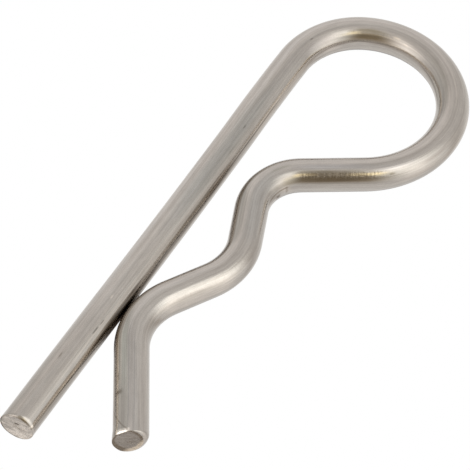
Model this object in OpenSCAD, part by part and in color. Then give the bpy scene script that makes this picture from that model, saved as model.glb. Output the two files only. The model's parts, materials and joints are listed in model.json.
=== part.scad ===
// Hitch R clip pin: one length of round spring wire, bent cold. The straight leg goes through the hole
// across a shaft, and the sprung leg snaps round the outside of that shaft.
// The clip lies flat, as it comes to rest. Its straight leg runs along Y with the cut end towards -Y,
// and the sprung leg lies on the +X side. The origin is under the middle of the clip, on the surface it
// lies on.

/* [Wire] */
// Diameter of the wire
wire_d = 4; // [3.2:0.1:4.6]
// How much thinner the wire is drawn where it goes round a bend
bend_draw = 0.01; // [0.01:0.01:0.05]

/* [Straight leg] */
// Length of the straight leg, from its cut end to where the head starts to curve
leg_len = 61.8; // [54:0.1:90]

/* [Head] */
// Centre line radius of the head where it leaves the straight leg
head_start_r = 9.5; // [8.5:0.1:12]
// Turn of that first part of the head, in degrees
head_start_angle = 62; // [50:1:80]
// Centre line radius round the crown of the head
head_crown_r = 10.7; // [10:0.1:13]
// Turn of the crown, in degrees
head_crown_angle = 110; // [95:1:115]
// Centre line radius where the head comes back towards the straight leg
head_return_r = 11.5; // [10.5:0.1:16]

/* [Sprung leg] */
// Angle at which the head's return run closes on the straight leg, in degrees
return_angle = 57; // [52:1:66]
// Centre line radius of the hold-in bend, which narrows the way out of the shaft pocket
hold_r = 6.25; // [4.5:0.05:7]
// Angle at which the wire opens away from the straight leg into the shaft pocket, in degrees
pocket_open_angle = 21; // [12:1:28]
// Length of the straight run from the hold-in bend to the pocket
pocket_open_len = 4.75; // [2:0.05:9]
// Centre line radius of the shaft pocket
pocket_r = 7.7; // [5:0.1:12]
// Angle at which the wire closes on the straight leg again after the pocket, in degrees
pocket_close_angle = 31; // [24:1:36]
// Length of the straight run from the pocket to the nose
pocket_close_len = 5.25; // [2:0.05:8]
// Centre line radius of the nose, the bend that rides on the straight leg
nose_r = 8; // [5:0.1:11]
// Angle at which the tail flares away from the straight leg, in degrees
tail_angle = 31; // [20:1:40]
// Length of the tail, from the end of the nose to its cut end
tail_len = 12.3; // [6:0.1:16]
// Clearance between the nose and the straight leg when the clip is off its shaft
nose_gap = 0.1; // [0.05:0.05:0.6]

/* [Cut ends] */
// How far the shear pressed in the edge of each end's face, on the side where the blade went in
roll_in = 0.8; // [0.3:0.05:1.2]
// How far back along the wire that pressed edge reaches
roll_back = 0.7; // [0.3:0.05:1]
// How far the lip stands out of the wire, on the side where the blade came out
lip_out = 0.25; // [0.1:0.05:0.4]
// How far back along the wire the lip starts to swell
lip_back = 1.6; // [1.1:0.1:3]

/* [Hidden] */
$fn = 64;
wire_r = wire_d / 2;

// Straight stretches are full thickness, and reach this far into the thinner wire of the bends.
lap = 0.05;

// The head turns the wire from the straight leg's direction to the return run's.
head_return_angle = 180 + return_angle - head_start_angle - head_crown_angle;

// How far a bend of radius r carries the wire sideways between two headings, both measured from the
// straight leg's direction.
function sideways(r, from, to) = r * (cos(from) - cos(to));

// The distance of the nose's centre line from the straight leg's is set by the clearance between them.
nose_x = wire_d + nose_gap;

// The return run is as long as it takes to bring the nose to that distance.
head_end_x = sideways(head_start_r, 0, head_start_angle)
    + sideways(head_crown_r, head_start_angle, head_start_angle + head_crown_angle)
    + sideways(head_return_r, head_start_angle + head_crown_angle, 180 + return_angle);
return_to_nose_x = sideways(hold_r, return_angle, -pocket_open_angle)
    + pocket_open_len * sin(pocket_open_angle)
    - sideways(pocket_r, -pocket_open_angle, pocket_close_angle)
    - pocket_close_len * sin(pocket_close_angle)
    + sideways(nose_r, pocket_close_angle, 0);
return_len = (head_end_x + return_to_nose_x - nose_x) / sin(return_angle);

// The footprint, for the origin: the head's widest and farthest points, and the lip of the leg's end.
head_widest_x = sideways(head_start_r, 0, head_start_angle)
    + sideways(head_crown_r, head_start_angle, head_start_angle + head_crown_angle)
    + sideways(head_return_r, head_start_angle + head_crown_angle, 180);
head_farthest_y = leg_len + head_start_r * sin(head_start_angle)
    + head_crown_r * (1 - sin(head_start_angle));
middle_x = (head_widest_x - lip_out) / 2;
middle_y = (head_farthest_y + wire_r) / 2;

// Each cut end is a stub of wire, a little longer than its lip.
stub_len = lip_back + 0.5;

// The lip is one side of a slimmer cylinder, which leans out of the wire towards the cut.
lean = atan(lip_out / lip_back);
lean_r = 0.9 * wire_r;
lean_x = wire_r - lean_r / cos(lean);

// The pressed edge of a cut end is part of a sphere. It crosses the end's face in a circle that passes
// outside the wire on the lip's side, and roll_in inside the wire on the other.
roll_circle_r = 1.3 * wire_r;
roll_centre_x = roll_circle_r - wire_r + roll_in;
roll_centre_back = (2 * roll_circle_r * roll_in + pow(roll_in, 2) + pow(roll_back, 2)) / (2 * roll_back);
roll_sphere_r = norm([roll_circle_r, roll_centre_back]);

// A stretch of wire along +Y, with what follows it placed at its far end.
module run(len) {
    translate([0, -lap, 0]) rotate([-90, 0, 0]) cylinder(d = wire_d, h = len + 2 * lap);
    translate([0, len, 0]) children();
}

// A bend of the wire, to the right where the angle is above 0, with what follows it placed at its end.
module bend(radius, angle) {
    side = sign(angle);
    translate([side * radius, 0, 0]) {
        rotate_extrude(angle = abs(angle), start = angle > 0 ? 180 - angle : 0)
            translate([radius, 0]) circle(d = wire_d - bend_draw);
        rotate(-angle) translate([-side * radius, 0, 0]) children();
    }
}

// A cylinder along +Y that reaches well past both ends of a stub, to be cut to length.
module long_cylinder(r) {
    rotate([-90, 0, 0]) translate([0, 0, -stub_len]) cylinder(r = r, h = 3 * stub_len);
}

// The last stub_len of wire, along +Y, sheared off square. Its lip is on the +X side.
module cut_end() {
    intersection() {
        union() {
            long_cylinder(wire_r);
            translate([lean_x, stub_len - lip_back, 0]) rotate(-lean) long_cylinder(lean_r);
        }
        translate([-wire_d, 0, -wire_d]) cube([2 * wire_d, stub_len, 2 * wire_d]);
        translate([roll_centre_x, stub_len - roll_centre_back, 0]) sphere(r = roll_sphere_r);
    }
}

module r_clip() {
    color("silver") translate([-middle_x, -middle_y, wire_r]) {
        translate([0, stub_len, 0]) rotate(180) cut_end();
        translate([0, stub_len, 0])
            run(leg_len - stub_len)
            bend(head_start_r, head_start_angle)
            run(0)
            bend(head_crown_r, head_crown_angle)
            run(0)
            bend(head_return_r, head_return_angle)
            run(return_len)
            bend(hold_r, -return_angle - pocket_open_angle)
            run(pocket_open_len)
            bend(pocket_r, pocket_open_angle + pocket_close_angle)
            run(pocket_close_len)
            bend(nose_r, -pocket_close_angle - tail_angle)
            run(tail_len - stub_len)
            cut_end();
    }
}

r_clip();
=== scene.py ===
"""Hitch R clip pin: one bent length of round steel wire, modelled straight, finished and then bent.

The straight leg lies along Y with its cut end towards -Y, and the sprung leg lies on the +X side.
Sizes are in metres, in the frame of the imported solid.
"""

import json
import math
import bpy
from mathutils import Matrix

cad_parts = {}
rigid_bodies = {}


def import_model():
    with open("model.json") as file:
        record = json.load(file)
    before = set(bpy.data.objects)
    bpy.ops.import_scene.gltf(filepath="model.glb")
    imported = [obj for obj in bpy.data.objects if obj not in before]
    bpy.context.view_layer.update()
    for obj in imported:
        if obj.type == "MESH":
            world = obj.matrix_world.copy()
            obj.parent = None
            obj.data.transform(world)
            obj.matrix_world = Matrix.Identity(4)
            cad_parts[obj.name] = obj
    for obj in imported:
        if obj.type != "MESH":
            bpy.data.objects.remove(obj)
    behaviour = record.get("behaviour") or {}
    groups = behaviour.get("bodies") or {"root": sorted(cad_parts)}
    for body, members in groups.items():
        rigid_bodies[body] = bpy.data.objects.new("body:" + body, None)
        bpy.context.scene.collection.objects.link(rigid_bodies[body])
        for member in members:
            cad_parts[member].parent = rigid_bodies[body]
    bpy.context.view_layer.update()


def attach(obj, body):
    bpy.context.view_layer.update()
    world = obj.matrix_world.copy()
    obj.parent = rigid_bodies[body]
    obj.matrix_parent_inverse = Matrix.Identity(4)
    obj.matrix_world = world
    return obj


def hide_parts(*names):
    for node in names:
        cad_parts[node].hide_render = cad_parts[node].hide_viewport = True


bl_info = {
    "name": "Hitch R clip pin",
    "version": (1, 0, 0),
    "blender": (4, 5, 0),
    "location": "View3D > Sidebar > R clip",
    "description": "Models a bent wire hitch pin and a plain pale studio round it",
    "category": "Mesh",
}

import bpy
from bpy.props import FloatProperty, FloatVectorProperty, IntProperty, PointerProperty
from bpy.types import Operator, Panel, PropertyGroup
from mathutils import Matrix, Vector

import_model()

MM = 0.001
NODE = "r_clip"
PIECE = "bent_wire"
STRAIGHT_PLACE = "wire_place"
SOLID_LIP = 0.25  # mm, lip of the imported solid, which is centred on the origin with it
SLIMMER = 0.01  # mm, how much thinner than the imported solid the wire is

# The wire's path is drawn in steps of these millimetres, and has to be this true.
PATH_RUN_STEP, PATH_BEND_STEP, PATH_TOLERANCE = 0.5, 0.1, 0.01

# Rings of points by a cut end: back along the wire in millimetres, and across its face in shares of
# the radius. The evenly spaced rings keep a little clear of them, in shares of the last one.
RINGS_AT_END = (0.0, 0.03, 0.08, 0.15, 0.22, 0.29, 0.36, 0.44, 0.52, 0.6, 0.7, 0.8, 0.9, 1.0, 1.1, 1.2,
                1.3, 1.45, 1.65, 1.9, 2.2, 2.6, 3.1, 3.7)
RINGS_ON_FACE = (0.985, 0.96, 0.92, 0.87, 0.82, 0.77, 0.72, 0.67, 0.62, 0.57, 0.5, 0.42, 0.34, 0.25,
                 0.15, 0.06)
CLEAR_OF_END = 1.05

# A point this near to a plane, in metres, is on it. Points this near to each other are welded, in mm.
ON_PLANE, WELD, CUT_WELD = 1e-6, 0.0005, 0.0001
ON_FACE = 1e-9  # m, no further back than this is on the cut face itself
SMOOTH_BELOW = 35  # degrees between two faces, beyond which their edge stays sharp

TORN_DEPTH = 0.012  # mm, unevenness of a cut face
TORN_SEED = 3
TORN_FLAT = 0.96  # how nearly a face has to look along the wire to be torn
LIP_GRIP = (0.5, 0.135)  # mm back from the face and in from the rim, where a lip is pulled out
ROUND_TURN = 45  # degrees that each half of a rolled edge turns through
ROLL_SHAPE = 1.5  # how quickly the rolled edge shortens away from the blade

BOWS = (
    # from and to along the wire, how far it stands to the left there, and how far beyond that fades,
    # all in millimetres
    (2.0, 5.0, 0.025, 9.0),
    (28.0, 33.0, -0.08, 18.0),
    (54.0, 58.0, 0.11, 9.0),
)
LEAST_REACH = 0.35  # of a rolled edge along the wire, in shares of its depth, opposite the blade

# The facet on the tail's top edge: which way it looks, and the way across the wire in which it lies.
FACET_NORMAL = (0.54, -0.39, 0.745)
FACET_SIDE = (-0.464, 0.886)


# ---------------------------------------------------------------- sizes and colours


def length(label, text, value, low, high):
    """A length property, given in millimetres."""
    return FloatProperty(name=label, description=text, default=value * MM, min=low * MM, max=high * MM,
                         precision=5, subtype="DISTANCE", unit="LENGTH")


def angle(label, text, value, low=0.0, high=180.0):
    """An angle property, given in degrees."""
    return FloatProperty(name=label, description=text, default=math.radians(value),
                         min=math.radians(low), max=math.radians(high), subtype="ANGLE", unit="ROTATION")


def amount(label, text, value, low=0.0, high=1.0):
    """A plain number property."""
    return FloatProperty(name=label, description=text, default=value, min=low, max=high)


def colour(label, text, value):
    """A colour property, given as linear red, green and blue."""
    return FloatVectorProperty(name=label, description=text, default=value, size=3, min=0.0, max=4.0,
                               subtype="COLOR")


class RCLIP_PG_wire(PropertyGroup):
    """Sizes of the bent wire."""

    wire_d: length("Wire diameter", "Diameter of the drawn wire", 3.99, 3.2, 4.6)
    leg_len: length("Leg length", "Straight leg, from its cut end to the start of the head", 61.8, 54, 90)
    head_start_r: length("Head start radius", "Centre line radius where the head leaves the leg",
                         9.5, 8, 12)
    head_start_angle: angle("Head start turn", "Turn of the first part of the head", 62)
    head_crown_r: length("Crown radius", "Centre line radius round the crown of the head", 10.7, 9, 13)
    head_crown_angle: angle("Crown turn", "Turn of the crown of the head", 110)
    head_return_r: length("Head return radius", "Centre line radius where the head comes back", 11.5, 9, 16)
    return_angle: angle("Return angle", "Angle at which the return run closes on the leg", 57)
    hold_r: length("Hold-in radius", "Centre line radius of the hold-in bend", 6.25, 4.5, 7)
    pocket_open_angle: angle("Pocket opening angle", "Angle at which the wire opens into the pocket", 21)
    pocket_open_len: length("Pocket opening run", "Run from the hold-in bend to the pocket", 4.75, 2, 9)
    pocket_r: length("Pocket radius", "Centre line radius of the shaft pocket", 7.7, 5, 12)
    pocket_close_angle: angle("Pocket closing angle", "Angle at which the wire closes on the leg", 31)
    pocket_close_len: length("Pocket closing run", "Run from the pocket to the nose", 5.25, 2, 8)
    nose_r: length("Nose radius", "Centre line radius of the nose, which rides on the leg", 8, 5, 11)
    tail_angle: angle("Tail angle", "Angle at which the tail flares away from the leg", 31)
    tail_len: length("Tail length", "Tail, from the end of the nose to its cut end", 12.3, 6, 16)
    nose_gap: length("Nose clearance", "Clearance between the nose and the leg", 0.1, 0.05, 0.6)
    sides: IntProperty(name="Sides", description="Facets round the wire", default=96, min=24, max=160)
    bend_step: length("Bend ring spacing", "Distance between rings of points in the bends", 0.3, 0.1, 1)
    run_step: length("Run ring spacing", "Distance between rings of points in the runs", 1.0, 0.2, 3)


def cut_settings(flat, blade, reach, rim, back, lean, lip):
    """The properties of one sheared end. Turns go round the wire, from the left of its run over the top."""
    return {
        "face_r": length("Flat radius", "Radius of the flat of the cut face", flat[0], 1, 4),
        "face_off": length("Flat offset", "From the wire's centre to the flat's, away from the blade",
                           flat[1], 0, 2),
        "blade": angle("Blade side", "Side where the blade went in and rolled the edge over",
                       blade, -180, 180),
        "reach": amount("Rolled reach", "Reach of the rolled edge along the wire, in shares of its depth",
                        reach, 0.3, 5),
        "rim": length("Rim", "Least rounding of the rim", rim, 0.02, 0.4),
        "back": length("Set back", "How far the middle of the cut face is set back", back, 0, 1),
        "lean_left": amount("Lean to the left", "How much further back the face is to the left",
                            lean[0], -0.3, 0.3),
        "lean_up": amount("Lean up", "How much further back the face is towards the top",
                          lean[1], -0.3, 0.3),
        "lip_turn": angle("Lip side", "Side where the blade came out and raised a lip", lip[0], -180, 180),
        "lip_out": length("Lip", "How far the lip stands out of the wire", lip[1], 0.02, 0.4),
        "lip_back": length("Lip reach", "How far along the wire the lip swells", 1.3, 0.5, 3),
    }


class RCLIP_PG_leg_cut(PropertyGroup):
    """Sheared end of the straight leg."""

    __annotations__ = cut_settings((2.4, 0.75), 120, 2.0, 0.07, 0.27, (-0.09, 0.03), (-20, 0.06))


class RCLIP_PG_tail_cut(PropertyGroup):
    """Sheared end of the tail."""

    __annotations__ = cut_settings((1.9, 0.75), -22, 1.4, 0.1, 0.17, (0.0, 0.085), (171, 0.08))
    facet_in: length("Facet", "From the wire's centre to the small flat facet on the face's top edge",
                     1.87, 1.6, 1.95)


class RCLIP_PG_steel(PropertyGroup):
    """Finish of the drawn spring steel."""

    steel: colour("Steel", "Bare drawn steel", (0.425, 0.4, 0.369))
    roughness: amount("Roughness", "Gloss of the drawn surface, where 0 is a mirror", 0.14)
    streaks: amount("Streaks", "How much the streaks along the wire vary in lightness", 0.1, 0, 0.5)
    speckle: amount("Speckle", "How much the fine grain varies in lightness", 0.06, 0, 0.5)
    wander: amount("Wander", "How many degrees the long marks stray round the wire", 5.0, 0, 30)
    # Painted light: the steel is shown lighter where the wire mirrors itself.
    between: amount("Light between", "How much lighter the wire is as it mirrors itself", 1.6, 1, 2.3)
    line_depth: length("Die line depth", "Depth of the fine lines along the wire", 0.004, 0, 0.05)
    grain_depth: length("Grain depth", "Depth of the fine grain", 0.0003, 0, 0.05)
    chatter_depth: length("Chatter depth", "Depth of the cross marks in the bends", 0.006, 0, 0.05)
    ripple_depth: length("Ripple depth", "Depth of the long ripples in the bends", 0.018, 0, 0.05)
    tear_contrast: amount("Tear contrast", "Lightness of the ridges on the leg's face", 1.3, 1, 2)
    tear_depth: length("Tear depth", "Depth of the ridges on the cut faces", 0.07, 0, 0.3)
    # The tail's face is made darker than the leg's, painted shade for the dark it mirrors.
    leg_face: colour("Leg face", "Sheared face of the leg", (0.55, 0.51, 0.465))
    tail_face: colour("Tail face", "Sheared face of the tail", (0.31, 0.28, 0.25))
    # The tail's rim is darker than its face away from its rolled side.
    tail_rim: colour("Tail rim", "Burnt rim of the tail's face", (0.2, 0.165, 0.13))
    # Painted highlight on the rolled side of the tail's face.
    tail_rolled_highlight: colour("Tail gold", "Rolled side of the tail's face", (0.62, 0.54, 0.44))


class RCLIP_PG_stage(PropertyGroup):
    """Studio round the clip."""

    camera_azimuth: angle("Camera azimuth", "Turn of the camera about the clip, from behind -Y",
                          26.66, -180, 180)
    camera_elevation: angle("Camera elevation", "Height of the camera above the floor", 53.12, -90, 90)
    camera_roll: angle("Camera roll", "Turn of the camera about its own line of sight", 4.25, -180, 180)
    camera_distance: length("Camera distance", "From the camera to the point it looks at", 301.07, 50, 5000)
    aim: FloatVectorProperty(name="Aim", description="Point that the camera looks at", size=3,
                             default=(-3.207 * MM, -1.444 * MM, 2.0 * MM), subtype="TRANSLATION",
                             unit="LENGTH")
    lens: amount("Lens", "Focal length in millimetres on a 36 mm sensor", 201.12, 10, 500)
    nook_reach: length("Nook reach", "How far from the wire the floor is in its shade", 2.4, 1, 60)
    backdrop: colour("Backdrop", "Floor and backdrop as the camera sees them", (1.0, 1.0, 1.0))


# ---------------------------------------------------------------- small helpers


def deselect_all():
    """Leaves nothing selected, in object mode."""
    if bpy.context.object is not None and bpy.context.object.mode != "OBJECT":
        bpy.ops.object.mode_set(mode="OBJECT")
    bpy.ops.object.select_all(action="DESELECT")


def only(obj):
    """Makes obj the one selected and active object."""
    deselect_all()
    obj.select_set(True)
    bpy.context.view_layer.objects.active = obj


def edit(obj):
    """Starts edit mode on obj alone, with nothing selected in it."""
    only(obj)
    bpy.ops.object.mode_set(mode="EDIT")
    bpy.ops.mesh.select_all(action="DESELECT")
    bpy.ops.object.mode_set(mode="OBJECT")


def pick(obj, kind, test):
    """Selects the points, edges or faces of obj that pass the test, and starts edit mode on them."""
    edit(obj)
    items = {"VERT": obj.data.vertices, "EDGE": obj.data.edges, "FACE": obj.data.polygons}[kind]
    found = [item for item in items if test(item)]
    for item in found:
        item.select = True
    bpy.context.tool_settings.mesh_select_mode = (kind == "VERT", kind == "EDGE", kind == "FACE")
    bpy.ops.object.mode_set(mode="EDIT")
    return len(found)


def done():
    """Goes back to object mode."""
    bpy.ops.object.mode_set(mode="OBJECT")


# ---------------------------------------------------------------- the wire's route


def sideways(radius, start, end):
    """How far a bend carries the wire sideways between two headings from the leg's direction."""
    return radius * (math.cos(start) - math.cos(end))


def route(s):
    """The wire's runs and bends in order, and the place of the leg's cut end."""
    crown_end = s.head_start_angle + s.head_crown_angle
    head_end = math.pi + s.return_angle
    nose_x = s.wire_d + SLIMMER * MM + s.nose_gap
    head_end_x = (sideways(s.head_start_r, 0, s.head_start_angle)
                  + sideways(s.head_crown_r, s.head_start_angle, crown_end)
                  + sideways(s.head_return_r, crown_end, head_end))
    to_nose_x = (sideways(s.hold_r, s.return_angle, -s.pocket_open_angle)
                 + s.pocket_open_len * math.sin(s.pocket_open_angle)
                 - sideways(s.pocket_r, -s.pocket_open_angle, s.pocket_close_angle)
                 - s.pocket_close_len * math.sin(s.pocket_close_angle)
                 + sideways(s.nose_r, s.pocket_close_angle, 0))
    return_len = (head_end_x + to_nose_x - nose_x) / math.sin(s.return_angle)
    steps = [
        ("run", s.leg_len),
        ("bend", s.head_start_r, s.head_start_angle),
        ("bend", s.head_crown_r, s.head_crown_angle),
        ("bend", s.head_return_r, head_end - crown_end),
        ("run", return_len),
        ("bend", s.hold_r, -s.return_angle - s.pocket_open_angle),
        ("run", s.pocket_open_len),
        ("bend", s.pocket_r, s.pocket_open_angle + s.pocket_close_angle),
        ("run", s.pocket_close_len),
        ("bend", s.nose_r, -s.pocket_close_angle - s.tail_angle),
        ("run", s.tail_len),
    ]
    widest_x = (sideways(s.head_start_r, 0, s.head_start_angle)
                + sideways(s.head_crown_r, s.head_start_angle, crown_end)
                + sideways(s.head_return_r, crown_end, math.pi))
    farthest_y = (s.leg_len + s.head_start_r * math.sin(s.head_start_angle)
                  + s.head_crown_r * (1 - math.sin(s.head_start_angle)))
    wire_r = (s.wire_d + SLIMMER * MM) / 2
    start = Vector((-(widest_x - SOLID_LIP * MM) / 2, -(farthest_y + wire_r) / 2, wire_r))
    return steps, start


def step_length(step):
    """Length of the wire in one run or bend."""
    return step[1] if step[0] == "run" else step[1] * abs(step[2])


def draw_path(steps, start):
    """Draws the wire's centre line from one point, by extruding runs and spinning bends."""
    deselect_all()
    bpy.ops.mesh.primitive_plane_add(size=MM, location=start)
    path = bpy.context.object
    path.name = "wire_path"
    bpy.ops.object.transform_apply(location=True, rotation=True, scale=True)
    bpy.context.tool_settings.mesh_select_mode = (True, False, False)
    bpy.ops.object.mode_set(mode="EDIT")
    bpy.ops.mesh.select_all(action="SELECT")
    bpy.ops.mesh.merge(type="CENTER")
    place, heading = Vector(start), 0.0
    for step in steps:
        ahead = Vector((math.sin(heading), math.cos(heading), 0.0))
        if step[0] == "run":
            count = max(4, round(step[1] / (PATH_RUN_STEP * MM)))
            onward = ahead * (step[1] / count)
            for _ in range(count):
                bpy.ops.mesh.extrude_region_move(TRANSFORM_OT_translate={"value": onward})
            place = place + ahead * step[1]
        else:
            side = math.copysign(1.0, step[2])
            right = Vector((math.cos(heading), -math.sin(heading), 0.0)) * side
            centre = place + right * step[1]
            count = max(8, round(step_length(step) / (PATH_BEND_STEP * MM)))
            bpy.ops.mesh.spin(steps=count, angle=abs(step[2]), center=centre, axis=(0.0, 0.0, side))
            heading += step[2]
            right = Vector((math.cos(heading), -math.sin(heading), 0.0)) * side
            place = centre - right * step[1]
    bpy.ops.object.mode_set(mode="OBJECT")
    bpy.ops.object.convert(target="CURVE")
    path = bpy.context.object
    points = path.data.splines[0].points
    if len(path.data.splines) != 1 or (points[0].co.xyz - start).length > PATH_TOLERANCE * MM:
        raise RuntimeError("the wire's path isn't one line from the leg's cut end")
    if (points[-1].co.xyz - place).length > PATH_TOLERANCE * MM:
        raise RuntimeError("the wire's path doesn't end at the tail's cut end")
    path.data.twist_mode = "Z_UP"
    return path


# ---------------------------------------------------------------- the straight wire


def stations(s, steps):
    """Places of the rings of points along the straight wire: close in the bends and at the ends."""
    places, here = [], 0.0
    for step in steps:
        span = step_length(step)
        count = math.ceil(span / (s.run_step if step[0] == "run" else s.bend_step))
        places += [here + span * (i + 1) / count for i in range(count)]
        here += span
    near_end = [x * MM for x in RINGS_AT_END]
    clear = near_end[-1] * CLEAR_OF_END
    places = [x for x in places if clear < x < here - clear]
    return near_end + places + [here - x for x in reversed(near_end)]


def straight_wire(s, places):
    """A straight length of wire along +X, extruded ring by ring from a short cylinder."""
    deselect_all()
    first = places[1] - places[0]
    bpy.ops.mesh.primitive_cylinder_add(vertices=s.sides, radius=s.wire_d / 2, depth=first,
                                        end_fill_type="NGON", location=(first / 2, 0, 0),
                                        rotation=(0, math.pi / 2, 0))
    wire = bpy.context.object
    wire.name = PIECE
    wire.data.name = PIECE
    bpy.ops.object.transform_apply(location=True, rotation=True, scale=True)
    pick(wire, "FACE", lambda f: f.center.x > first * 0.99 and f.normal.x > 0.9)
    for a, b in zip(places[1:-1], places[2:]):
        bpy.ops.mesh.extrude_region_move(TRANSFORM_OT_translate={"value": (b - a, 0, 0)})
    done()
    return wire


def cut_faces(s, wire, total):
    """Gives each cut face rings of points, so that it can carry the marks of the shear."""
    for x in (0.0, total):
        pick(wire, "FACE", lambda f: abs(f.center.x - x) < ON_PLANE and abs(f.normal.x) > 0.999)
        here = s.wire_d / 2
        for inner in RINGS_ON_FACE:
            step = here - inner * s.wire_d / 2
            bpy.ops.mesh.inset(thickness=step, use_even_offset=True)
            here -= step
        bpy.ops.mesh.poke()
        done()


def lean_back(cut, y, z):
    """How far the cut face is set back at one place across the wire."""
    return cut.back + cut.lean_left * y + cut.lean_up * z


def press_edge(s, cut, wire, end, inward):
    """Sets one cut face aslant and rolls over its edge, most on the side where the blade went in."""
    wire_r = s.wire_d / 2
    for v in wire.data.vertices:
        back = (v.co.x - end) * inward
        if back > RINGS_AT_END[-1] * MM * 1.01:
            continue
        r = math.hypot(v.co.y, v.co.z)
        turn = math.atan2(v.co.z, v.co.y) - cut.blade
        flat_r = (math.sqrt(cut.face_r ** 2 - (cut.face_off * math.sin(turn)) ** 2)
                  - cut.face_off * math.cos(turn))
        pressed = math.sqrt(max(wire_r - flat_r, 0.0) ** 2 + cut.rim ** 2)
        share = (0.5 + 0.5 * math.cos(turn)) ** ROLL_SHAPE
        reach = pressed * (LEAST_REACH + (cut.reach - LEAST_REACH) * share)
        if back <= reach and (back > ON_FACE or wire_r - r <= pressed):
            along = 1 - back / reach if back > ON_FACE else 1 + (wire_r - r) / pressed
            round_turn = math.radians(ROUND_TURN) * along
            new_r = wire_r - pressed * (1 - math.cos(round_turn))
            back = reach * (1 - math.sin(round_turn))
            v.co.y *= new_r / r
            v.co.z *= new_r / r
        slant = max(1 - back / (RINGS_AT_END[-1] * MM), 0.0)
        v.co.x = end + inward * (back + lean_back(cut, v.co.y, v.co.z) * slant)


def swell_lip(s, cut, wire, end):
    """Pushes the metal out into a lip on the side where the blade came out."""
    out_y, out_z = math.cos(cut.lip_turn), math.sin(cut.lip_turn)
    behind, within = (x * MM for x in LIP_GRIP)
    found = pick(wire, "VERT", lambda v: abs(v.co.x - end) < behind
                 and v.co.y * out_y + v.co.z * out_z > s.wire_d / 2 - within)
    if not found:
        raise RuntimeError("no rim was found to swell into a lip")
    bpy.ops.transform.translate(value=(0, out_y * cut.lip_out, out_z * cut.lip_out),
                                use_proportional_edit=True, proportional_edit_falloff="SMOOTH",
                                proportional_size=cut.lip_back)
    done()


def nick_tail(cut, wire, end):
    """Cuts the small flat facet on the top edge of the tail's cut face."""
    y, z = cut.facet_in * FACET_SIDE[0], cut.facet_in * FACET_SIDE[1]
    edit(wire)
    bpy.ops.object.mode_set(mode="EDIT")
    bpy.ops.mesh.select_all(action="SELECT")
    bpy.ops.mesh.bisect(plane_co=(end - lean_back(cut, y, z), y, z), plane_no=FACET_NORMAL, use_fill=True,
                        clear_outer=True, threshold=CUT_WELD * MM)
    bpy.ops.mesh.region_to_loop()
    bpy.ops.mesh.mark_sharp()
    done()


def tear_faces(wire, total):
    """Gives the flats of the cut faces their own finish, and the uneven surface of torn metal."""
    pick(wire, "FACE", lambda f: min(f.center.x, total - f.center.x) < MM and abs(f.normal.x) > TORN_FLAT)
    wire.active_material_index = 1
    bpy.ops.object.material_slot_assign()
    bpy.ops.mesh.select_less()
    bpy.ops.transform.vertex_random(offset=TORN_DEPTH * MM, uniform=0.0, normal=1.0, seed=TORN_SEED)
    done()


def keep_place(wire):
    """Stores where each point was on the straight wire, for patterns that run along it."""
    points = wire.data.vertices
    flat = [0.0] * (3 * len(points))
    points.foreach_get("co", flat)
    place = wire.data.attributes.new(STRAIGHT_PLACE, "FLOAT_VECTOR", "POINT")
    place.data.foreach_set("vector", flat)


def bow_leg(wire):
    """Gives the leg the slight bows that straightened wire keeps."""
    for start, stop, out, fade in BOWS:
        pick(wire, "VERT", lambda v: start * MM <= v.co.x <= stop * MM)
        bpy.ops.transform.translate(value=(0, out * MM, 0), use_proportional_edit=True,
                                    proportional_edit_falloff="SMOOTH", proportional_size=fade * MM)
        done()


def bend_wire(wire, path):
    """Bends the straight wire along its path."""
    bend = wire.modifiers.new("bend", "CURVE")
    bend.object = path
    bend.deform_axis = "POS_X"
    only(wire)
    bpy.ops.object.modifier_apply(modifier="bend")
    only(path)
    bpy.ops.object.delete()
    edit(wire)
    bpy.ops.object.mode_set(mode="EDIT")
    bpy.ops.mesh.select_all(action="SELECT")
    bpy.ops.mesh.remove_doubles(threshold=WELD * MM)
    bpy.ops.mesh.normals_make_consistent(inside=False)
    done()
    bpy.ops.object.shade_smooth_by_angle(angle=math.radians(SMOOTH_BELOW))


# ---------------------------------------------------------------- node helpers


def node(tree, kind, inputs=(), **settings):
    """Adds a node. Each input is set by index or name, to a value or to another node's output."""
    made = tree.nodes.new(kind)
    for key, value in settings.items():
        setattr(made, key, value)
    for key, value in dict(inputs).items():
        if isinstance(value, bpy.types.NodeSocket):
            tree.links.new(value, made.inputs[key])
        else:
            made.inputs[key].default_value = value
    return made


def maths(tree, operation, *values):
    """A Math node's output."""
    return node(tree, "ShaderNodeMath", enumerate(values), operation=operation).outputs[0]


def ramp(tree, value, low, high, a=0.0, b=1.0):
    """A smooth step from a to b while value goes from low to high, and level beyond them.

    A smooth step levels off by itself. Its clamp stays off, because with one for each mark the steel
    is too big for the renderer, which then shows it black.
    """
    return node(tree, "ShaderNodeMapRange", {0: value, 1: low, 2: high, 3: a, 4: b},
                interpolation_type="SMOOTHSTEP", clamp=False).outputs[0]


def mix_colour(tree, factor, a, b, blend="MIX"):
    """A Mix node on colours."""
    made = tree.nodes.new("ShaderNodeMix")
    made.data_type = "RGBA"
    made.blend_type = blend
    for index, value in ((0, factor), (6, a), (7, b)):
        if isinstance(value, bpy.types.NodeSocket):
            tree.links.new(value, made.inputs[index])
        else:
            made.inputs[index].default_value = value
    return made.outputs[2]


def rgba(c):
    """A colour with full alpha."""
    return (c[0], c[1], c[2], 1.0)


def new_group(name, inputs, outputs):
    """A shader node group with named sockets. Returns it with its input and output nodes."""
    group = bpy.data.node_groups.new(name, "ShaderNodeTree")
    for label, kind, value in inputs:
        socket = group.interface.new_socket(name=label, in_out="INPUT", socket_type=kind)
        if value is not None:
            socket.default_value = value
    for label, kind in outputs:
        group.interface.new_socket(name=label, in_out="OUTPUT", socket_type=kind)
    return group, group.nodes.new("NodeGroupInput"), group.nodes.new("NodeGroupOutput")


# ---------------------------------------------------------------- the steel

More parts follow.
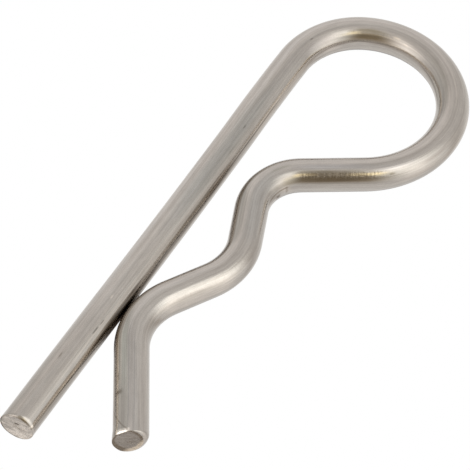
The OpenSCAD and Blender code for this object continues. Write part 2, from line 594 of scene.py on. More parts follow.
WIRE_END = 159.6  # mm along the wire
CALM_END = (2.0, 15.0, 0.4, 1.0)  # from and to along the leg in mm, and the share of the streaks at each
WARM_TINT, COOL_TINT = (1.015, 1.0, 0.985), (0.985, 1.0, 1.015)
CHATTER_TINT = (0.5, 0.47, 0.41)
CHATTER_DIM = (0.12, 0.6, 0.0, 0.75)  # from and to in the chatter's level, and how much it tints at each
STRAY_NOISE = (0.12, 0.1, 1.0)  # scale along and across per millimetre, and detail, of the marks' straying
MARK_BREAKUP = (-0.4, 0.75, 0.35, 1.0)  # from and to in the fine lines' level, and the marks' share at each
BROAD_SHARE = 0.6  # of the streaks' lightness in the broad ones
LINE_DULL, MARK_DULL = 0.07, 0.15  # roughness that fine lines and deep marks add

# The crease that the shear leaves round the tail: how far it climbs back and where it starts, in mm,
# over how many degrees, how steeply, where its edge ends and is full, its depth, and where it shows.
CREASE_BACK, CREASE_TURN, CREASE_CURVE = (3.3, 0.4), 72.0, 1.5
CREASE_EDGE, CREASE_DEPTH = (0.22, 0.02), 0.006
CREASE_ROW = (WIRE_END - 4.5, WIRE_END + 1, 0.3, 40.0, 32.0, 8.0)
# The crease's tint is painted shade along its line, which also gets a shallow real dent.
CREASE_TINT = (0.66, 0.63, 0.6)

# Ovals on the cut faces, in millimetres across the wire: middle (left, up) and half widths
TAIL_OVAL = (-0.4, 0.38, 1.36, 1.48)
LEG_OVAL = (0.0, 0.0, 1.95, 1.95)
LEG_NOTCH = (-0.05, 0.62, 0.32, 0.13)

# The torn faces: scale of the ridges along, left and up per millimetre, where the leg's finish ends
# along the wire, tints of the tail's ridges and the leg's notch, rim and underside, and depths in mm
TORN_SCALE = (0.3, 0.55, 2.4)
LEG_FINISH = (80.0, 70.0)
TAIL_RIDGE_TINT, NOTCH_TINT = (0.6, 0.58, 0.56), (0.32, 0.3, 0.28)
LEG_RIM_TINT, LEG_UNDER_TINT = (0.8, 0.77, 0.72), (0.5, 0.49, 0.47)
FACE_GRAIN, NOTCH_DEPTH = 0.006, 0.06

BEND_CHATTER = (
    # name, from, to, fade, middle, half width, softness, strength
    ("hold_chatter", 104, 113.5, 1.5, -40, 12, 6, 1.0),
    ("head_chatter", 66, 76, 3, 37, 8, 6, 0.4),
    ("pocket_chatter", 128, 143, 3, -38, 16, 8, 0.45),
)


def placed(tree, group, name, **inputs):
    """A node that uses a group. Underscores in the inputs' names stand for spaces."""
    values = {key.replace("_", " "): value for key, value in inputs.items()}
    return node(tree, "ShaderNodeGroup", values, node_tree=group, name=name, label=name)


def wire_axes_group():
    """Splits the straight wire's place into millimetres along it and across it, and degrees round it."""
    group, given, out = new_group("wire_axes", [("Place", "NodeSocketVector", None)],
                                  [("Along", "NodeSocketFloat"), ("Turn", "NodeSocketFloat"),
                                   ("Left", "NodeSocketFloat"), ("Up", "NodeSocketFloat")])
    xyz = node(group, "ShaderNodeSeparateXYZ", {0: given.outputs["Place"]})
    x, y, z = (maths(group, "DIVIDE", xyz.outputs[i], MM) for i in range(3))
    right = maths(group, "MULTIPLY", y, -1.0)
    turn = maths(group, "MULTIPLY", maths(group, "ARCTAN2", right, z), 180 / math.pi)
    for name, value in (("Along", x), ("Turn", turn), ("Left", y), ("Up", z)):
        group.links.new(value, out.inputs[name])
    return group


def long_mark_group():
    """A soft patch on the wire: a length of it, and a band round it."""
    names = ("Along", "Turn", "From", "To", "Fade", "Middle", "Half width", "Softness")
    group, given, out = new_group("long_mark", [(name, "NodeSocketFloat", 0.0) for name in names],
                                  [("Mask", "NodeSocketFloat")])
    after = maths(group, "DIVIDE", maths(group, "SUBTRACT", given.outputs["Along"], given.outputs["From"]),
                  given.outputs["Fade"])
    before = maths(group, "DIVIDE", maths(group, "SUBTRACT", given.outputs["To"], given.outputs["Along"]),
                   given.outputs["Fade"])
    off = maths(group, "ABSOLUTE", maths(group, "SUBTRACT", given.outputs["Turn"], given.outputs["Middle"]))
    beside = maths(group, "DIVIDE", maths(group, "SUBTRACT", off, given.outputs["Half width"]),
                   given.outputs["Softness"])
    length_of_it = maths(group, "MULTIPLY", ramp(group, after, -1, 1), ramp(group, before, -1, 1))
    mask = maths(group, "MULTIPLY", length_of_it, ramp(group, beside, 1, -1))
    group.links.new(mask, out.inputs["Mask"])
    return group


def mark_mask(tree, group, name, along, turn, row):
    """The mask of one long mark, from its row of sizes: from, to, fade, middle, half width, softness."""
    start, stop, fade, middle, half, soft = row
    return placed(tree, group, name, Along=along, Turn=turn, From=start, To=stop, Fade=fade, Middle=middle,
                  Half_width=half, Softness=soft).outputs[0]


def stretched_noise(tree, place, along, across, detail, roughness=0.55):
    """Noise with its grain drawn out along the wire. Both scales are per millimetre."""
    scaled = node(tree, "ShaderNodeVectorMath", {0: place, 1: (along / MM, across / MM, across / MM)},
                  operation="MULTIPLY")
    return node(tree, "ShaderNodeTexNoise", {"Vector": scaled.outputs[0], "Scale": 1.0, "Detail": detail,
                                             "Roughness": roughness}).outputs[0]


DRAWN_LINES = (
    # name, scale along and across the wire per millimetre, detail, roughness, then the lowest and
    # highest level of the noise, which are drawn out to 0 and 1
    ("Fine", 0.09, 4.2, 3.0, 0.55, 0.28, 0.72),
    ("Broad", 0.03, 1.1, 2.0, 0.55, 0.3, 0.7),
    ("Grain", 0.5, 2.2, 4.0, 0.85, 0.3, 0.7),
    ("Chatter", 4.6, 1.0, 2.0, 0.55, 0.35, 0.65),
    ("Ripple", 0.8, 2.6, 2.0, 0.55, 0.3, 0.7),
)


def drawn_lines_group():
    """The marks that the drawing die leaves along the wire, and the grain between them, from 0 to 1."""
    group, given, out = new_group("drawn_lines", [("Place", "NodeSocketVector", None)],
                                  [(row[0], "NodeSocketFloat") for row in DRAWN_LINES])
    for name, along, across, detail, roughness, low, high in DRAWN_LINES:
        value = stretched_noise(group, given.outputs["Place"], along, across, detail, roughness)
        value = node(group, "ShaderNodeMapRange", {0: value, 1: low, 2: high}).outputs[0]
        group.links.new(value, out.inputs[name])
    return group


MARKS = (
    # name, from and to along the wire and how softly it ends, all in millimetres; where it lies round
    # the wire from the top towards its right side, its half width and how softly it ends, all in
    # degrees; its tint, and its depth in thousandths of a millimetre. Most tints are painted shade and
    # painted highlights, bands made darker or lighter where reflections and the shade between the legs
    # fall; the marks with a depth are real lines, pits, nicks and scratches as well.
    ("leg_rim_low", -1, 0.3, 0.1, -125, 50, 10, (0.3, 0.29, 0.28), 0),
    ("leg_pale_side", 14, 62, 5, -44, 13, 10, (1.12, 1.12, 1.13), 0),
    ("leg_line_a", -2, 17, 3, -10.5, 1.2, 1.8, (0.86, 0.85, 0.84), 2),
    ("leg_line_b", 2, 20, 4, -26, 2.5, 3, (0.93, 0.92, 0.92), 0),
    ("leg_line_c", 9, 42, 2, 31, 1.5, 2.5, (0.88, 0.9, 0.9), 1),
    ("leg_line_d", 30, 56, 4, 20, 2, 3, (0.91, 0.93, 0.93), 0),
    ("leg_line_e", 34, 60, 4, 10, 1.5, 2, (0.93, 0.93, 0.95), 1),
    ("leg_grey_band", 39, 65, 5, 20, 20, 8, (0.88, 0.88, 0.88), 0),
    ("leg_light_line_a", 0, 24, 3, 38, 3, 3, (1.09, 1.08, 1.07), 0),
    ("leg_light_line_b", 24, 42, 4, 40, 3, 3, (1.06, 1.06, 1.07), 0),
    # Painted highlight on the leg's flank near its cut end, and a line of painted shade beside it.
    ("leg_worn_flank", -2, 13, 3, 61.5, 3, 3.5, (1.75, 1.72, 1.66), 0),
    ("leg_gold_line", -2, 16, 3, 68.5, 2, 2.5, (0.62, 0.58, 0.5), 0),
    ("leg_dark_line", 26, 54, 3, 68, 1.5, 2.5, (0.74, 0.71, 0.68), 0),
    ("leg_cool_part", 33, 53, 5, 12, 26, 10, (0.965, 1.0, 1.015), 0),
    ("leg_pair_a", 46, 56, 2, 59, 2, 2, (1.35, 1.33, 1.3), 0),
    ("leg_pair_b", 41, 54, 2, 67, 1.8, 2, (0.42, 0.4, 0.38), 4),
    # Painted shade on the leg's flank that faces the sprung leg, darkest in the nip where the nose rides on
    # it, and painted light further along.
    ("leg_shaded_flank", 23, 43, 3, 75, 5, 5, (0.56, 0.52, 0.48), 0),
    ("leg_low_flank", 37.5, 43.5, 1.5, 65, 9, 5, (0.72, 0.69, 0.66), 0),
    ("leg_light_flank", 49, 63, 2, 66, 13, 6, (1.28, 1.26, 1.23), 0),
    ("nip_dark", 13, 22, 3, 67, 8, 9, (0.14, 0.11, 0.08), 0),
    ("nip_core", 18.2, 21.5, 1.2, 78, 12, 8, (0.2, 0.16, 0.12), 0),
    ("nip_shoulder", 16.2, 22.3, 1.5, 57, 5, 5, (0.22, 0.2, 0.18), 0),
    ("nip_tail", 20.5, 26, 2, 76, 11, 6, (0.42, 0.39, 0.36), 0),
    ("leg_dash_a", 14.1, 15.1, 0.25, 34, 2, 1.5, (0.12, 0.11, 0.1), 6),
    ("leg_dash_b", 15.6, 16.3, 0.25, 35, 1.5, 1.5, (0.3, 0.28, 0.27), 4),
    ("leg_fleck", 19.0, 19.5, 0.2, 8, 3.5, 2, (1.3, 1.28, 1.25), 0),
    ("leg_pit_a", 9.2, 10.0, 0.3, -8, 2.5, 2, (0.62, 0.6, 0.58), 3),
    ("leg_pit_b", 48.1, 48.6, 0.2, 21, 1.6, 1.6, (0.5, 0.48, 0.46), 3),
    ("leg_pit_c", 44, 45.2, 0.4, 32, 1.5, 2, (0.7, 0.7, 0.68), 2),
    ("head_pit", 64.4, 64.8, 0.2, 11, 2, 2, (0.4, 0.38, 0.36), 3),
    # Painted shade at the start of the head's highlight, and painted highlights beside it.
    ("head_scuff", 62.5, 68, 2, 37, 13, 5, (0.78, 0.76, 0.77), 0),
    ("head_low_line", 61, 70, 2, 72, 4, 4, (0.64, 0.6, 0.58), 2),
    ("head_gold_patch", 69, 75, 2, 42, 4, 4, (1.15, 1.13, 1.05), 0),
    ("head_pale_patch", 70, 73.5, 1.5, 37, 5, 4, (1.12, 1.11, 1.08), 0),
    ("head_patch_a", 76.1, 77.0, 0.4, 35, 4, 2, (1.3, 1.26, 1.18), 0),
    ("head_patch_b", 77.8, 78.4, 0.3, 43, 3, 2, (1.15, 1.13, 1.1), 0),
    # Painted highlight inside the head.
    ("head_inner_light", 75, 87, 3, 64, 3, 4, (1.5, 1.47, 1.42), 0),
    ("head_inner_line_b", 82, 89, 1.5, 73, 2, 2, (0.55, 0.52, 0.5), 3),
    # Painted shade and painted highlights where the head comes back.
    ("head_scuff_end", 96, 99.5, 1.2, -45, 6, 6, (0.74, 0.72, 0.72), 0),
    ("head_inner_shade", 89, 98, 2, 39, 5, 5, (0.78, 0.77, 0.78), 0),
    ("head_outer_light", 89, 98, 3, -76, 15, 8, (1.16, 1.15, 1.14), 0),
    # Painted highlights and painted shade on the return run: lighter and golden where it catches light,
    # darker in its dark band, whose upper part also has a shallow real groove.
    ("run_pale", 100.5, 105.5, 2, -25, 9, 6, (1.15, 1.15, 1.18), 0),
    ("run_brown_low", 106.5, 112.9, 2.2, -53, 11, 8, (0.64, 0.61, 0.58), 0),
    ("run_brown_top", 107, 112.6, 1.5, -34, 10, 7, (0.5, 0.47, 0.43), 2),
    ("run_brown_edge", 109.5, 112.3, 1, -27, 4, 4, (0.76, 0.74, 0.71), 0),
    ("run_line_b", 102, 108.5, 2, -53, 1.2, 2, (0.8, 0.78, 0.74), 2),
    ("run_gold_line", 103.8, 107.6, 1, -38, 4, 4, (1.6, 1.53, 1.28), 0),
    ("run_gold_end", 111.8, 114, 1, -36, 4, 4, (1.6, 1.53, 1.3), 0),
    # Painted shade where the golden highlight runs on into the hold-in bend.
    ("hold_gold_start", 113.8, 116.2, 0.8, -50, 12, 6, (0.88, 0.85, 0.76), 0),
    ("run_ticks", 102.7, 103.3, 0.3, -44, 3.5, 2, (0.6, 0.57, 0.5), 2),
    ("run_blue_band", 105.5, 113.5, 2, -8, 8, 6, (0.96, 0.98, 1.03), 0),
    # Painted shade along the top of the run and in the hold-in bend.
    ("run_top_shade", 103, 114.5, 1.5, 32, 5, 4, (0.66, 0.65, 0.66), 0),
    ("hold_shade", 114.2, 118.7, 1.2, -56, 10, 6, (0.66, 0.64, 0.61), 0),
    ("hold_shade_top", 115, 118.4, 1, -36, 7, 4, (0.8, 0.79, 0.79), 0),
    ("hold_inner_arc", 115.5, 120.5, 1, -71, 2.5, 3, (0.5, 0.44, 0.38), 3),
    ("hold_ring", 115.8, 116.1, 0.25, -80, 12, 4, (0.62, 0.58, 0.54), 3),
    ("hold_nick", 117.4, 118.2, 0.3, -90, 7, 5, (0.4, 0.36, 0.32), 4),
    ("hold_spots", 114.8, 116.9, 0.6, 3, 4, 3, (0.84, 0.86, 0.82), 1),
    ("hold_blue_band", 117, 127, 2, -18, 22, 8, (0.935, 0.965, 0.99), 0),
    # Painted shade on the sprung leg's flank that faces the leg, painted light and shade in the pocket, and
    # painted light on the nose.
    ("hold_flank_a", 114.5, 121.5, 1.5, 46, 9, 6, (0.45, 0.43, 0.41), 0),
    ("hold_flank_b", 121.5, 127.5, 1.5, 55, 12, 6, (0.62, 0.59, 0.57), 0),
    ("pocket_flank", 128, 141, 1.5, 47, 9, 6, (0.47, 0.45, 0.44), 0),
    ("pocket_bright", 130, 142, 2.5, -43, 13, 7, (1.19, 1.195, 1.2), 0),
    ("pocket_outer", 134.5, 138, 1.5, -49, 4, 5, (0.78, 0.77, 0.77), 0),
    ("nose_light", 141.5, 145, 1.2, 58, 6, 6, (2.2, 2.15, 2.05), 0),
    ("nose_nick", 142, 143.4, 0.5, -70, 6, 3, (0.86, 0.82, 0.78), 2),
    # Painted shade and painted light on the tail's flank that faces the leg.
    ("tail_low_flank", 145.5, 151.5, 1.5, 70, 6, 5, (0.4, 0.36, 0.33), 0),
    ("tail_flank_light", 145.8, 149.2, 1, 54, 4, 3, (1.5, 1.5, 1.5), 0),
    ("tail_light_strip", 146, 152.8, 1, 38, 3, 3, (1.22, 1.21, 1.2), 0),
    ("tail_line_a", 147, 158.8, 2, -8.5, 1.4, 1.8, (0.74, 0.74, 0.75), 2),
    ("tail_grey_band", 145, 158.8, 2, 1, 9, 4, (0.9, 0.9, 0.91), 0),
    ("tail_line_b", 145, 158.8, 2, 10.5, 1.6, 2, (0.72, 0.73, 0.74), 2),
    ("tail_pale_band", 145, 153.2, 2, 25, 9, 3, (1.05, 1.1, 1.09), 0),
    ("tail_edge_line", 146, 153, 1, 37.5, 1, 1.2, (0.8, 0.79, 0.76), 1),
    # Painted reflection of the leg, darker, on the tail's side that faces it, and painted shade beside it.
    ("tail_rust_band", 145.5, 154, 2, 51, 3, 4, (0.84, 0.77, 0.72), 0),
    ("tail_rust_flank", 150, 158.5, 2, 69, 7, 8, (0.62, 0.56, 0.51), 0),
    ("tail_brown_strip", 153.5, 158.5, 1, 48, 4, 4, (0.82, 0.8, 0.78), 0),
    ("tail_scratch", 153.7, 154.2, 0.3, 46, 14, 8, (0.5, 0.47, 0.43), 4),
    ("tail_spot", 151.4, 152.4, 0.3, 46, 2.5, 3, (0.6, 0.56, 0.52), 2),
    # A painted glint on the small flat facet at the tail's cut end.
    ("facet_glint", 158.85, 161, 0.15, 27, 22, 4, (2.0, 2.0, 2.0), 0),
)


def drawn_steel(s):
    """Bright drawn spring steel, with die lines, marks, painted shade and painted highlights along the wire
    and chatter in its bends.
    """
    mat = bpy.data.materials.new("drawn_steel")
    mat.use_nodes = True
    tree = mat.node_tree
    shader = tree.nodes["Principled BSDF"]
    place = node(tree, "ShaderNodeAttribute", attribute_name=STRAIGHT_PLACE, attribute_type="GEOMETRY")
    place = place.outputs["Vector"]
    axes = placed(tree, wire_axes_group(), "wire_axes", Place=place)
    along, turn = axes.outputs["Along"], axes.outputs["Turn"]
    lines = placed(tree, drawn_lines_group(), "drawn_lines", Place=place)
    fine, broad, grain, chatter, ripple = (lines.outputs[row[0]] for row in DRAWN_LINES)

    mark = long_mark_group()
    stray = maths(tree, "SUBTRACT", stretched_noise(tree, place, *STRAY_NOISE), 0.5)
    turn = maths(tree, "ADD", turn, maths(tree, "MULTIPLY", stray, s.wander))
    # Breaks up every mark along the fine lines: the painted shade and highlights as well as the real marks
    # and the crease.
    mark_breakup = ramp(tree, fine, *MARK_BREAKUP)

    calm = ramp(tree, along, *CALM_END)
    lightness = maths(tree, "ADD", ramp(tree, fine, 0.0, 1.0, -s.streaks, s.streaks),
                      ramp(tree, broad, 0.0, 1.0, -s.streaks * BROAD_SHARE, s.streaks * BROAD_SHARE))
    lightness = maths(tree, "MULTIPLY_ADD", lightness, calm, 1.0)
    speckle = ramp(tree, grain, 0.0, 1.0, 1 - s.speckle, 1 + s.speckle)
    lightness = maths(tree, "MULTIPLY", lightness, speckle)
    tone = mix_colour(tree, broad, rgba(WARM_TINT), rgba(COOL_TINT))
    tone = node(tree, "ShaderNodeVectorMath", {0: tone, "Scale": lightness}, operation="SCALE").outputs[0]
    colour_here = mix_colour(tree, 1.0, rgba(s.steel), tone, "MULTIPLY")
    depth = maths(tree, "MULTIPLY", maths(tree, "MULTIPLY", fine, calm), s.line_depth / MM)
    depth = maths(tree, "ADD", depth, maths(tree, "MULTIPLY", grain, s.grain_depth / MM))
    shaken = None
    for name, *row, strength in BEND_CHATTER:
        mask = mark_mask(tree, mark, name, along, turn, row)
        mask = maths(tree, "MULTIPLY", mask, strength)
        shaken = mask if shaken is None else maths(tree, "MAXIMUM", shaken, mask)
    ticks = maths(tree, "MULTIPLY", shaken, chatter)
    depth = maths(tree, "ADD", depth, maths(tree, "MULTIPLY", ticks, s.chatter_depth / MM))
    waves = maths(tree, "MULTIPLY", shaken, ripple)
    depth = maths(tree, "ADD", depth, maths(tree, "MULTIPLY", waves, s.ripple_depth / MM))
    dimmed = maths(tree, "MULTIPLY", shaken, maths(tree, "MULTIPLY", chatter, fine))
    dimmed = ramp(tree, dimmed, *CHATTER_DIM)
    colour_here = mix_colour(tree, dimmed, colour_here, rgba(CHATTER_TINT), "MULTIPLY")
    dull = maths(tree, "MULTIPLY", fine, LINE_DULL)
    # Each mark multiplies the colour: most paint shade or highlights, and those with a depth also cut a
    # real mark.
    for name, *row, tint, deep in MARKS:
        mask = mark_mask(tree, mark, name, along, turn, row)
        mask = maths(tree, "MULTIPLY", mask, mark_breakup)
        colour_here = mix_colour(tree, mask, colour_here, rgba(tint), "MULTIPLY")
        if deep:
            depth = maths(tree, "SUBTRACT", depth, maths(tree, "MULTIPLY", mask, deep * MM))
            dull = maths(tree, "ADD", dull, maths(tree, "MULTIPLY", mask, MARK_DULL))

    back = maths(tree, "SUBTRACT", WIRE_END, along)
    rise = maths(tree, "DIVIDE", maths(tree, "MAXIMUM", turn, 0.0), CREASE_TURN)
    rise = maths(tree, "POWER", rise, CREASE_CURVE)
    crease = maths(tree, "SUBTRACT", back, maths(tree, "MULTIPLY_ADD", rise, *CREASE_BACK))
    crease = ramp(tree, maths(tree, "ABSOLUTE", crease), *CREASE_EDGE)
    crease = maths(tree, "MULTIPLY", crease, mark_mask(tree, mark, "tail_crease", along, turn, CREASE_ROW))
    crease = maths(tree, "MULTIPLY", crease, mark_breakup)
    # Painted shade along the crease.
    colour_here = mix_colour(tree, crease, colour_here, rgba(CREASE_TINT), "MULTIPLY")
    depth = maths(tree, "SUBTRACT", depth, maths(tree, "MULTIPLY", crease, CREASE_DEPTH))

    bump = node(tree, "ShaderNodeBump", {"Strength": 1.0, "Distance": MM, "Height": depth})
    tree.links.new(bump.outputs[0], shader.inputs["Normal"])
    # Painted light: the steel's colour is made lighter for rays that see the wire mirrored in itself.
    seen_by = node(tree, "ShaderNodeLightPath")
    mirrored = node(tree, "ShaderNodeVectorMath", {0: colour_here, "Scale": s.between},
                    operation="SCALE").outputs[0]
    tree.links.new(mix_colour(tree, seen_by.outputs["Is Glossy Ray"], colour_here, mirrored),
                   shader.inputs["Base Color"])
    tree.links.new(maths(tree, "ADD", dull, s.roughness), shader.inputs["Roughness"])
    shader.inputs["Metallic"].default_value = 1.0
    return mat


def oval(tree, left, up, middle_left, middle_up, half_left, half_up):
    """Distance from the middle of an oval across the wire, as a share of the way to its edge."""
    across = maths(tree, "DIVIDE", maths(tree, "SUBTRACT", left, middle_left), half_left)
    above = maths(tree, "DIVIDE", maths(tree, "SUBTRACT", up, middle_up), half_up)
    return maths(tree, "SQRT", maths(tree, "ADD", maths(tree, "MULTIPLY", across, across),
                                     maths(tree, "MULTIPLY", above, above)))


def sheared_steel(s):
    """The torn, striated faces that the shear leaves: light on the leg, and on the tail painted darker as
    shade.
    """
    mat = bpy.data.materials.new("sheared_steel")
    mat.use_nodes = True
    tree = mat.node_tree
    shader = tree.nodes["Principled BSDF"]
    place = node(tree, "ShaderNodeAttribute", attribute_name=STRAIGHT_PLACE, attribute_type="GEOMETRY")
    place = place.outputs["Vector"]
    axes = placed(tree, bpy.data.node_groups["wire_axes"], "wire_axes", Place=place)
    left, up = axes.outputs["Left"], axes.outputs["Up"]
    lines = placed(tree, bpy.data.node_groups["drawn_lines"], "drawn_lines", Place=place)
    on_leg = ramp(tree, axes.outputs["Along"], *LEG_FINISH)

    torn = node(tree, "ShaderNodeVectorMath", {0: place, 1: [scale / MM for scale in TORN_SCALE]},
                operation="MULTIPLY")
    torn = node(tree, "ShaderNodeTexNoise", {"Vector": torn.outputs[0], "Scale": 1.0, "Detail": 4.0,
                                             "Roughness": 0.65, "Distortion": 0.9}).outputs[0]
    torn = node(tree, "ShaderNodeMapRange", {0: torn, 1: 0.3, 2: 0.7}).outputs[0]

    # The leg's face: light and dark ridges, and a painted highlight that makes it lighter towards the
    # bottom and the wire's right.
    leg_tone = maths(tree, "MULTIPLY", ramp(tree, torn, 0.1, 0.9, s.tear_contrast, 2 - s.tear_contrast),
                     ramp(tree, maths(tree, "ADD", left, up), -1.6, 1.6, 1.12, 0.9))
    leg_tone = node(tree, "ShaderNodeVectorMath", {0: rgba(s.leg_face)[:3], "Scale": leg_tone},
                    operation="SCALE").outputs[0]
    edge = oval(tree, left, up, *TAIL_OVAL)
    # The tail's rim: dark, with a painted highlight on its rolled side, low and to the left of the run.
    low = ramp(tree, maths(tree, "SUBTRACT", maths(tree, "MULTIPLY", left, 0.9), up), 0.5, 1.3)
    rim = mix_colour(tree, low, rgba(s.tail_rim), rgba(s.tail_rolled_highlight))
    patchy = maths(tree, "ADD", edge, ramp(tree, lines.outputs["Broad"], 0.0, 1.0, -0.04, 0.04))
    tail_tone = mix_colour(tree, ramp(tree, patchy, 0.93, 1.05), rgba(s.tail_face), rim)
    ridged = ramp(tree, torn, 0.2, 0.9, 0.0, 0.2)
    tail_tone = mix_colour(tree, ridged, tail_tone, rgba(TAIL_RIDGE_TINT), "MULTIPLY")
    notch = maths(tree, "MULTIPLY", ramp(tree, oval(tree, left, up, *LEG_NOTCH), 1.25, 0.7), on_leg)
    outline = maths(tree, "MULTIPLY", ramp(tree, oval(tree, left, up, *LEG_OVAL), 0.92, 0.98), on_leg)
    face = mix_colour(tree, on_leg, tail_tone, leg_tone)
    face = mix_colour(tree, notch, face, rgba(NOTCH_TINT), "MULTIPLY")
    face = mix_colour(tree, outline, face, rgba(LEG_RIM_TINT), "MULTIPLY")
    under = maths(tree, "MULTIPLY", outline, ramp(tree, maths(tree, "SUBTRACT", left, up), 0.3, 1.5))
    face = mix_colour(tree, under, face, rgba(LEG_UNDER_TINT), "MULTIPLY")
    tree.links.new(face, shader.inputs["Base Color"])

    depth = maths(tree, "MULTIPLY", torn, s.tear_depth / MM)
    depth = maths(tree, "ADD", depth, maths(tree, "MULTIPLY", lines.outputs["Grain"], FACE_GRAIN))
    depth = maths(tree, "SUBTRACT", depth, maths(tree, "MULTIPLY", notch, NOTCH_DEPTH))
    bump = node(tree, "ShaderNodeBump", {"Strength": 1.0, "Distance": MM, "Height": depth})
    tree.links.new(bump.outputs[0], shader.inputs["Normal"])
    tree.links.new(ramp(tree, torn, 0.0, 1.0, 0.38, 0.28), shader.inputs["Roughness"])
    shader.inputs["Metallic"].default_value = 1.0
    return mat


# ---------------------------------------------------------------- operators


class RCLIP_OT_wire(Operator):
    """Model the wire straight, shear its ends, bend it and give it its finish"""

    bl_idname = "rclip.wire"
    bl_label = "Bend the wire"

    def execute(self, context):
        s = context.scene.rclip_wire
        steps, start = route(s)
        total = sum(step_length(step) for step in steps)
        wire = straight_wire(s, stations(s, steps))
        cut_faces(s, wire, total)
        leg_cut, tail_cut = context.scene.rclip_leg_cut, context.scene.rclip_tail_cut
        for cut, end, inward in ((leg_cut, 0.0, 1), (tail_cut, total, -1)):
            press_edge(s, cut, wire, end, inward)
            swell_lip(s, cut, wire, end)
        nick_tail(tail_cut, wire, total)
        keep_place(wire)
        wire.data.materials.append(drawn_steel(context.scene.rclip_steel))
        wire.data.materials.append(sheared_steel(context.scene.rclip_steel))
        tear_faces(wire, total)
        bow_leg(wire)
        bend_wire(wire, draw_path(steps, start))
        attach(wire, "root")
        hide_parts(NODE)
        return {"FINISHED"}


SOFT_BOXES = (
    # name, azimuth from the front and elevation: each a low edge, its softness, a high edge and its
    # softness, in degrees, then the colour as the bare steel shows it
    ("floor", (-400, 5, 400, 5), (-400, 5, 3, 4), (0.417, 0.383, 0.347)),
    ("front_gap", (-40, 29, 48.5, 13), (-4, 22, 54, 27), (0.149, 0.111, 0.066)),
    ("front_sill", (0.5, 16, 110, 22), (-16.5, 30, -4, 30), (0.164, 0.119, 0.087)),
    ("left_box", (-85.5, 35, -38.5, 27), (9.5, 37, 72.5, 12), (1.016, 0.954, 0.852)),
    ("warm_edge", (-58.4, 26, -58, 22), (-47, 10, 66.5, 15), (0.859, 0.748, 0.648)),
    ("right_box", (35.5, 24, 68.5, 24), (1.5, 16, 61.5, 19), (0.87, 0.779, 0.692)),
    ("back_fold", (-103.5, 28, -93.5, 8), (-65, 39, 27.5, 44), (0.237, 0.204, 0.175)),
    ("side_fold", (100.5, 6, 144, 4), (-40, 3, 61, 4), (0.325, 0.298, 0.265)),
    ("golden_box", (-36.5, 12, -20.5, 6), (42.5, 14, 67.5, 10), (0.796, 0.666, 0.445)),
    ("back_light", (149, 8, 201, 4), (-2, 25, 45.5, 8), (0.471, 0.428, 0.39)),
    ("roof_gap", (-41, 20, 30.5, 11), (60, 4, 87.5, 9), (0.289, 0.247, 0.184)),
)
TENT = (0.386, 0.351, 0.316)  # colour of the tent between the boxes, as the bare steel shows it
FRONT = 153.34  # degrees, the azimuth that the boxes' own are counted from
FLOOR_SIZE = 6.0  # m
SENSOR_WIDTH = 36.0  # mm
CLIP_START, CLIP_END = 0.01, 20.0  # m, nearest and farthest that the camera sees

# The floor in reflections: shares of open sky at which it is darkest and clear, and its darkest tint.
NOOK_DARK, NOOK_LIGHT = 0.12, 0.5
NOOK_TINT = (0.05, 0.035, 0.025)


def soft_box_group():
    """A soft box on the tent's wall: where its light falls, by azimuth and elevation."""
    sockets = [(name, "NodeSocketFloat", 0.0) for name in (
        "Azimuth", "Elevation", "Left", "Left softness", "Right", "Right softness",
        "Bottom", "Bottom softness", "Top", "Top softness")]
    group, given, out = new_group("soft_box", sockets, [("Mask", "NodeSocketFloat")])
    sides = []
    for value, edge, sign in (("Azimuth", "Left", 1), ("Azimuth", "Right", -1),
                              ("Elevation", "Bottom", 1), ("Elevation", "Top", -1)):
        past = maths(group, "SUBTRACT", given.outputs[value], given.outputs[edge])
        share = maths(group, "DIVIDE", past, given.outputs[edge + " softness"])
        sides.append(ramp(group, share, -sign, sign))
    mask = maths(group, "MULTIPLY", maths(group, "MULTIPLY", sides[0], sides[1]),
                 maths(group, "MULTIPLY", sides[2], sides[3]))
    group.links.new(mask, out.inputs["Mask"])
    return group


def studio_world(s, steel):
    """A soft tent with boxes of light and gaps, for reflections. The camera sees a plain backdrop."""
    world = bpy.data.worlds.new("studio")
    bpy.context.scene.world = world
    world.use_nodes = True
    tree = world.node_tree
    tree.nodes.clear()
    place = node(tree, "ShaderNodeTexCoord")
    xyz = node(tree, "ShaderNodeSeparateXYZ", {0: place.outputs["Generated"]})
    across = maths(tree, "MULTIPLY", maths(tree, "ARCTAN2", xyz.outputs[0], xyz.outputs[1]), 180 / math.pi)
    up = maths(tree, "MULTIPLY", maths(tree, "ARCSINE", xyz.outputs[2]), 180 / math.pi)
    group = soft_box_group()

    def lit(c):
        return rgba([c[i] / steel[i] for i in range(3)])

    here = lit(TENT)
    for name, azimuths, elevations, seen in SOFT_BOXES:
        left, left_soft, right, right_soft = azimuths
        low, low_soft, high, high_soft = elevations
        middle, half = (left + right) / 2, (right - left) / 2
        turned = maths(tree, "SUBTRACT", across, FRONT + middle)
        turned = maths(tree, "WRAP", turned, 180.0, -180.0)
        box = node(tree, "ShaderNodeGroup", {
            "Azimuth": turned, "Elevation": up, "Left": -half, "Left softness": left_soft, "Right": half,
            "Right softness": right_soft, "Bottom": low, "Bottom softness": low_soft, "Top": high,
            "Top softness": high_soft}, node_tree=group, name=name)
        here = mix_colour(tree, box.outputs[0], here, lit(seen))
    seen_by = node(tree, "ShaderNodeLightPath")
    tent = node(tree, "ShaderNodeBackground", {0: here, 1: 1.0})
    plain = node(tree, "ShaderNodeBackground", {0: rgba(s.backdrop), 1: 1.0})
    both = node(tree, "ShaderNodeMixShader", {0: seen_by.outputs["Is Camera Ray"], 1: tent.outputs[0],
                                              2: plain.outputs[0]})
    out = node(tree, "ShaderNodeOutputWorld")
    tree.links.new(both.outputs[0], out.inputs["Surface"])


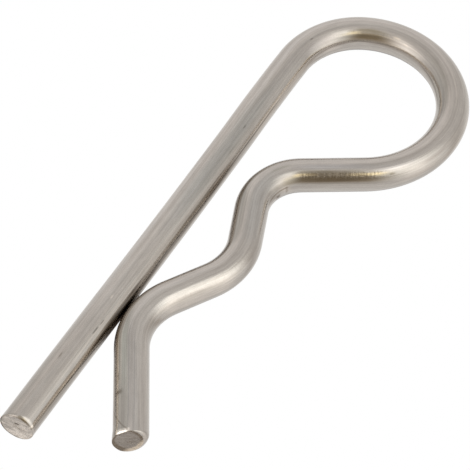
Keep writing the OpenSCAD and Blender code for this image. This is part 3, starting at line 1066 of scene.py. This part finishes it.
class RCLIP_OT_stage(Operator):
    """Set the plain pale floor, the soft studio light and the camera"""

    bl_idname = "rclip.stage"
    bl_label = "Set the studio"

    def execute(self, context):
        s = context.scene.rclip_stage
        deselect_all()
        bpy.ops.mesh.primitive_plane_add(size=FLOOR_SIZE, location=(0, 0, 0))
        floor = bpy.context.object
        floor.name = "studio_floor"
        mat = bpy.data.materials.new("pale_floor")
        mat.use_nodes = True
        tree = mat.node_tree
        tree.nodes.clear()
        glow = node(tree, "ShaderNodeEmission", {0: rgba(s.backdrop), 1: 1.0})
        nook = node(tree, "ShaderNodeAmbientOcclusion", {"Distance": s.nook_reach})
        shade = ramp(tree, nook.outputs["AO"], NOOK_DARK, NOOK_LIGHT)
        tint = mix_colour(tree, shade, rgba(NOOK_TINT), rgba((1, 1, 1)))
        through = node(tree, "ShaderNodeBsdfTransparent", {0: tint})
        seen_by = node(tree, "ShaderNodeLightPath")
        both = node(tree, "ShaderNodeMixShader", {
            0: seen_by.outputs["Is Camera Ray"], 1: through.outputs[0], 2: glow.outputs[0]})
        out = node(tree, "ShaderNodeOutputMaterial")
        tree.links.new(both.outputs[0], out.inputs["Surface"])
        floor.data.materials.append(mat)
        studio_world(s, context.scene.rclip_steel.steel)

        aim = Vector(s.aim)
        back = Vector((math.cos(s.camera_elevation) * math.sin(s.camera_azimuth),
                       -math.cos(s.camera_elevation) * math.cos(s.camera_azimuth),
                       math.sin(s.camera_elevation)))
        level = Vector((math.cos(s.camera_azimuth), math.sin(s.camera_azimuth), 0.0))
        upright = back.cross(level)
        right = level * math.cos(s.camera_roll) + upright * math.sin(s.camera_roll)
        top = back.cross(right)
        bpy.ops.object.camera_add(location=aim + back * s.camera_distance)
        camera = bpy.context.object
        camera.name = "studio_camera"
        turn = Matrix((right, top, back)).transposed().to_4x4()
        camera.matrix_world = Matrix.Translation(aim + back * s.camera_distance) @ turn
        camera.data.lens = s.lens
        camera.data.sensor_width = SENSOR_WIDTH
        camera.data.clip_start = CLIP_START
        camera.data.clip_end = CLIP_END
        context.scene.camera = camera
        context.scene.view_settings.view_transform = "Standard"
        return {"FINISHED"}


class RCLIP_PT_panel(Panel):
    """Lists the operators and the sizes and colours that they use"""

    bl_idname = "RCLIP_PT_panel"
    bl_label = "Hitch R clip pin"
    bl_space_type = "VIEW_3D"
    bl_region_type = "UI"
    bl_category = "R clip"

    def draw(self, context):
        for operator, group in (("rclip.wire", "rclip_wire"), (None, "rclip_leg_cut"),
                                (None, "rclip_tail_cut"), (None, "rclip_steel"),
                                ("rclip.stage", "rclip_stage")):
            box = self.layout.box()
            if operator:
                box.operator(operator)
            settings = getattr(context.scene, group)
            for name in settings.__annotations__:
                box.prop(settings, name)


CLASSES = (RCLIP_PG_wire, RCLIP_PG_leg_cut, RCLIP_PG_tail_cut, RCLIP_PG_steel, RCLIP_PG_stage,
           RCLIP_OT_wire, RCLIP_OT_stage, RCLIP_PT_panel)
GROUPS = {"rclip_wire": RCLIP_PG_wire, "rclip_leg_cut": RCLIP_PG_leg_cut,
          "rclip_tail_cut": RCLIP_PG_tail_cut, "rclip_steel": RCLIP_PG_steel, "rclip_stage": RCLIP_PG_stage}


def register():
    for cls in CLASSES:
        bpy.utils.register_class(cls)
    for name, group in GROUPS.items():
        setattr(bpy.types.Scene, name, PointerProperty(type=group))


def unregister():
    for name in GROUPS:
        delattr(bpy.types.Scene, name)
    for cls in reversed(CLASSES):
        bpy.utils.unregister_class(cls)


def main():
    """Makes the wire and its studio."""
    register()
    bpy.ops.rclip.wire()
    bpy.ops.rclip.stage()
    deselect_all()


if __name__ == "__main__":
    main()
